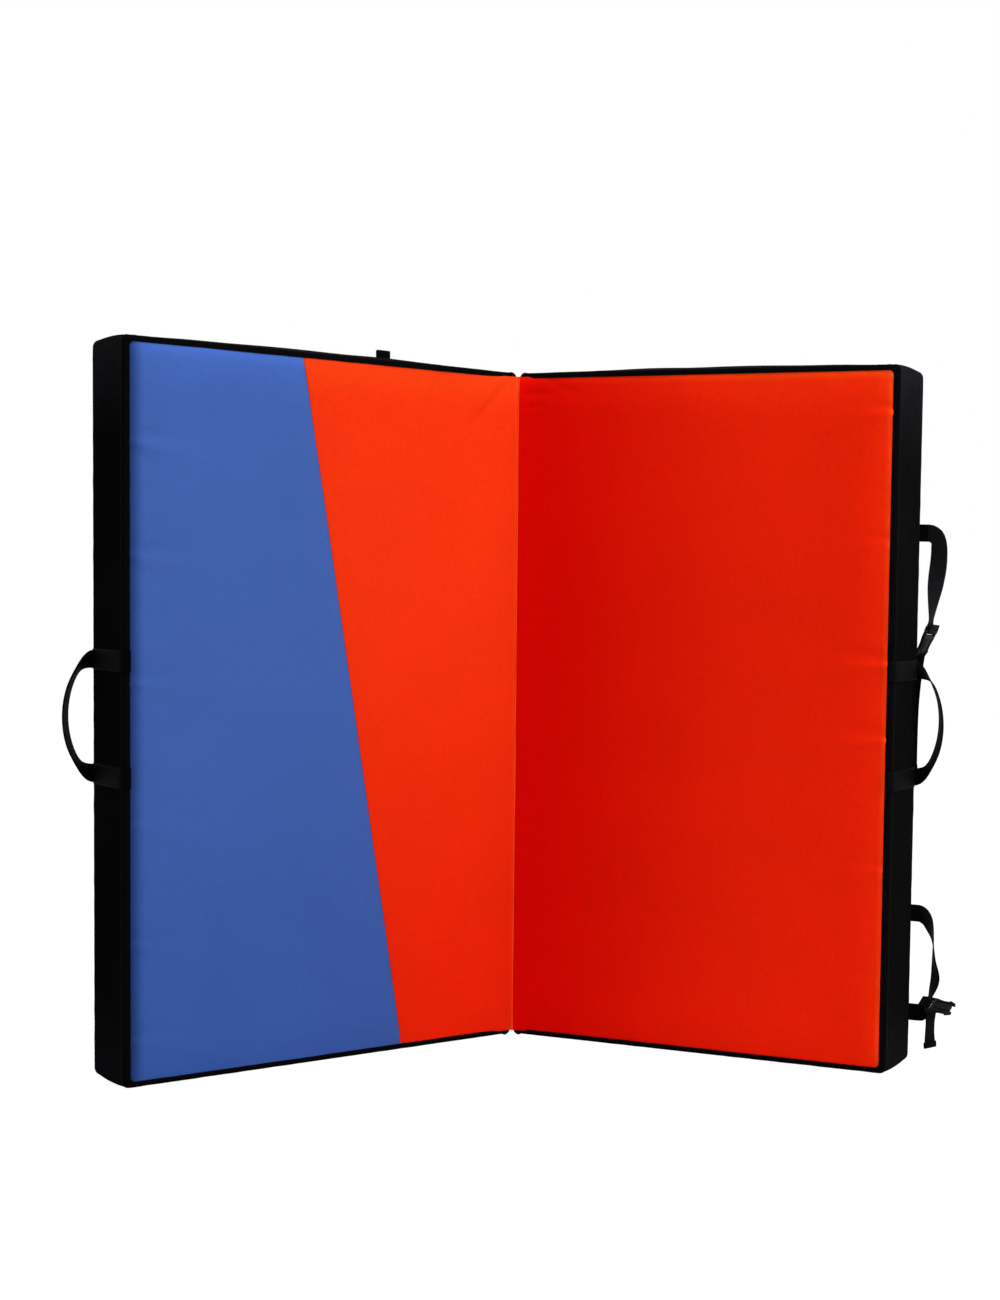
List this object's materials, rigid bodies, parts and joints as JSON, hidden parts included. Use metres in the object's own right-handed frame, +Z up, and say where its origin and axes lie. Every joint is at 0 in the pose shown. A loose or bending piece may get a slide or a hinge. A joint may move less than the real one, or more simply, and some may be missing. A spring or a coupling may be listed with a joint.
{
  "type": "bouldering crash pad",
  "caption": "Two-half folding bouldering crash pad with orange-red and blue landing faces, foam layers, webbing handles, closing straps with plastic buckles, shoulder straps and foam zips.",
  "frame": {"origin": "on the floor, under the centre of the pad as it stands on end, half open", "axes": "+X towards the half with the closing straps, +Y towards the fold at the back, +Z up"},
  "size_m": [1.2429, 0.3981, 1.0247],
  "materials": {
    "orange_fabric": "heavy woven nylon, orange-red",
    "blue_fabric": "heavy woven nylon, blue",
    "black_fabric": "coarse woven nylon, black",
    "black_webbing": "ribbed polyester webbing",
    "black_plastic": "moulded acetal",
    "zip_metal": "plated die casting",
    "soft_foam": null,
    "firm_foam": null
  },
  "bodies": {
    "right_block": {"right_back_panel": "black_fabric", "right_bottom_wall": "black_fabric", "right_foam_base": "firm_foam", "right_foam_core": "soft_foam", "right_foam_top": "firm_foam", "right_front_binding": "black_fabric", "right_handle_patch_bottom": "black_webbing", "right_handle_patch_top": "black_webbing", "right_hinge_seam": "orange_fabric", "right_hinge_wall": "black_fabric", "right_landing_panel": "orange_fabric", "right_lower_strap_anchor": "black_webbing", "right_lower_strap_return_tab": "black_webbing", "right_outer_wall": "black_fabric", "right_rear_binding": "black_fabric", "right_top_wall": "black_fabric", "right_upper_strap_anchor": "black_webbing", "right_zip_tape": "black_webbing"},
    "left_block": {"left_back_panel": "black_fabric", "left_bottom_wall": "black_fabric", "left_foam_base": "firm_foam", "left_foam_core": "soft_foam", "left_foam_top": "firm_foam", "left_front_binding": "black_fabric", "left_handle_patch_bottom": "black_webbing", "left_handle_patch_top": "black_webbing", "left_hinge_wall": "black_fabric", "left_inner_strap_anchor": "black_webbing", "left_inner_webbing_anchor": "black_webbing", "left_landing_blue": "blue_fabric", "left_landing_orange": "orange_fabric", "left_lower_receiver_anchor": "black_webbing", "left_outer_strap_anchor": "black_webbing", "left_outer_wall": "black_fabric", "left_outer_webbing_anchor": "black_webbing", "left_rear_binding": "black_fabric", "left_top_tab": "black_webbing", "left_top_wall": "black_fabric", "left_upper_receiver_anchor": "black_webbing", "left_zip_tape": "black_webbing"},
    "right_handle": {"right_handle_loop": "black_webbing"},
    "left_handle": {"left_handle_loop": "black_webbing"},
    "upper_strap": {"right_upper_strap": "black_webbing", "right_upper_strap_buckle": "black_plastic", "right_upper_strap_tail": "black_webbing"},
    "lower_strap": {"right_lower_strap": "black_webbing", "right_lower_strap_buckle": "black_plastic", "right_lower_strap_tail": "black_webbing"},
    "right_slider": {"right_zip_slider": "zip_metal"},
    "right_pull": {"right_zip_pull": "zip_metal"},
    "left_slider": {"left_zip_slider": "zip_metal"},
    "left_pull": {"left_zip_pull": "zip_metal"},
    "upper_receiver": {"left_upper_receiver": "black_plastic"},
    "lower_receiver": {"left_lower_receiver": "black_plastic"},
    "inner_shoulder": {"left_inner_shoulder_strap": "black_fabric", "left_inner_ladder_lock": "black_plastic"},
    "outer_shoulder": {"left_outer_shoulder_strap": "black_fabric", "left_outer_ladder_lock": "black_plastic"},
    "inner_webbing": {"left_inner_lower_webbing": "black_webbing"},
    "outer_webbing": {"left_outer_lower_webbing": "black_webbing"}
  },
  "joints": [
    {"name": "fold", "type": "hinge", "parent": "right_block", "child": "left_block", "pos_m": [-0.013, 0.10522, 0.5], "axis": [0, 0, 1], "range_deg": [-62, 118]},
    {"name": "right_handle_swing", "type": "hinge", "parent": "right_block", "child": "right_handle", "pos_m": [0.55683, -0.117, 0.4945], "axis": [0, 0, 1], "range_deg": [-40, 40]},
    {"name": "left_handle_swing", "type": "hinge", "parent": "left_block", "child": "left_handle", "pos_m": [-0.58283, -0.117, 0.4945], "axis": [0, 0, 1], "range_deg": [-40, 40]},
    {"name": "upper_strap_swing", "type": "hinge", "parent": "right_block", "child": "upper_strap", "pos_m": [0.56977, -0.10926, 0.7695], "axis": [0, 0, 1], "range_deg": [-60, 0]},
    {"name": "lower_strap_swing", "type": "hinge", "parent": "right_block", "child": "lower_strap", "pos_m": [0.56977, -0.10926, 0.2165], "axis": [0, 0, 1], "range_deg": [-60, 70]},
    {"name": "right_zip_slide", "type": "slide", "parent": "right_block", "child": "right_slider", "axis": [0, 0, 1], "range_m": [0, 0.868]},
    {"name": "right_pull_swing", "type": "hinge", "parent": "right_slider", "child": "right_pull", "pos_m": [0.07504, 0.19349, 0.066], "axis": [0.8572, -0.515, 0], "range_deg": [0, 150]},
    {"name": "left_zip_slide", "type": "slide", "parent": "left_block", "child": "left_slider", "axis": [0, 0, 1], "range_m": [0, 0.868]},
    {"name": "left_pull_swing", "type": "hinge", "parent": "left_slider", "child": "left_pull", "pos_m": [-0.10103, 0.19349, 0.066], "axis": [0.8572, 0.515, 0], "range_deg": [0, 150]},
    {"name": "upper_receiver_swing", "type": "hinge", "parent": "left_block", "child": "upper_receiver", "pos_m": [-0.5181, -0.0599, 0.7695], "axis": [0, 0, 1], "range_deg": [-120, 0]},
    {"name": "lower_receiver_swing", "type": "hinge", "parent": "left_block", "child": "lower_receiver", "pos_m": [-0.5181, -0.0599, 0.2165], "axis": [0, 0, 1], "range_deg": [-120, 0]},
    {"name": "inner_shoulder_swing", "type": "hinge", "parent": "left_block", "child": "inner_shoulder", "pos_m": [-0.25838, 0.09615, 0.84], "axis": [0.8572, 0.515, 0], "range_deg": [0, 35]},
    {"name": "inner_webbing_swing", "type": "hinge", "parent": "left_block", "child": "inner_webbing", "pos_m": [-0.25838, 0.09615, 0.14], "axis": [0.8572, 0.515, 0], "range_deg": [-43.4, 0]},
    {"name": "outer_shoulder_swing", "type": "hinge", "parent": "left_block", "child": "outer_shoulder", "pos_m": [-0.40409, 0.0086, 0.84], "axis": [0.8572, 0.515, 0], "range_deg": [0, 35]},
    {"name": "outer_webbing_swing", "type": "hinge", "parent": "left_block", "child": "outer_webbing", "pos_m": [-0.40409, 0.0086, 0.14], "axis": [0.8572, 0.515, 0], "range_deg": [-43.4, 0]}
  ],
  "couplings": [
    {"joint": "inner_webbing_swing", "follows": "inner_shoulder_swing", "ratio": -1.24},
    {"joint": "outer_webbing_swing", "follows": "outer_shoulder_swing", "ratio": -1.24}
  ]
}
